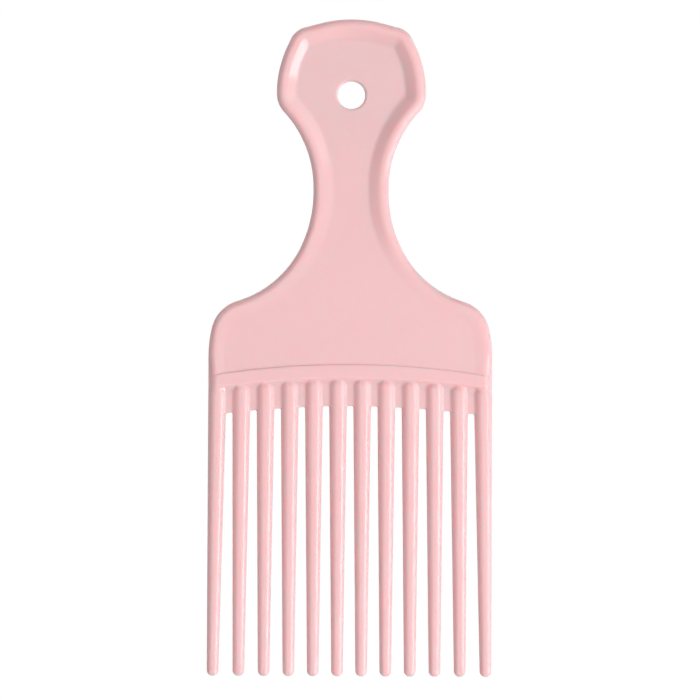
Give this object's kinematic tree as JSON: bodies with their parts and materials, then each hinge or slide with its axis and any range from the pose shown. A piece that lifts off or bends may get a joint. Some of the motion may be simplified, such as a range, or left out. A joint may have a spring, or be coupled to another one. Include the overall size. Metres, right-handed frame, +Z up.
{
  "type": "afro pick",
  "caption": "Moulded plastic hair pick with a dished handle, a hanging hole, an arched rib and long round tapered teeth that fan out slightly.",
  "frame": {"origin": "on the plane that the pick lies on, midway along its length and its width", "axes": "+Z up out of the front face, +Y towards the crown of the handle, +X to the right seen from the front"},
  "size_m": [0.0716, 0.165, 0.005],
  "materials": {
    "pink_plastic": "gloss"
  },
  "bodies": {
    "root": {"head": "pink_plastic", "grip": "pink_plastic", "shoulders": "pink_plastic", "arched_rib": "pink_plastic", "root_web": "pink_plastic", "tooth_01": "pink_plastic", "tooth_02": "pink_plastic", "tooth_03": "pink_plastic", "tooth_04": "pink_plastic", "tooth_05": "pink_plastic", "tooth_06": "pink_plastic", "tooth_07": "pink_plastic", "tooth_08": "pink_plastic", "tooth_09": "pink_plastic", "tooth_10": "pink_plastic", "tooth_11": "pink_plastic", "tooth_12": "pink_plastic"}
  },
  "joints": []
}
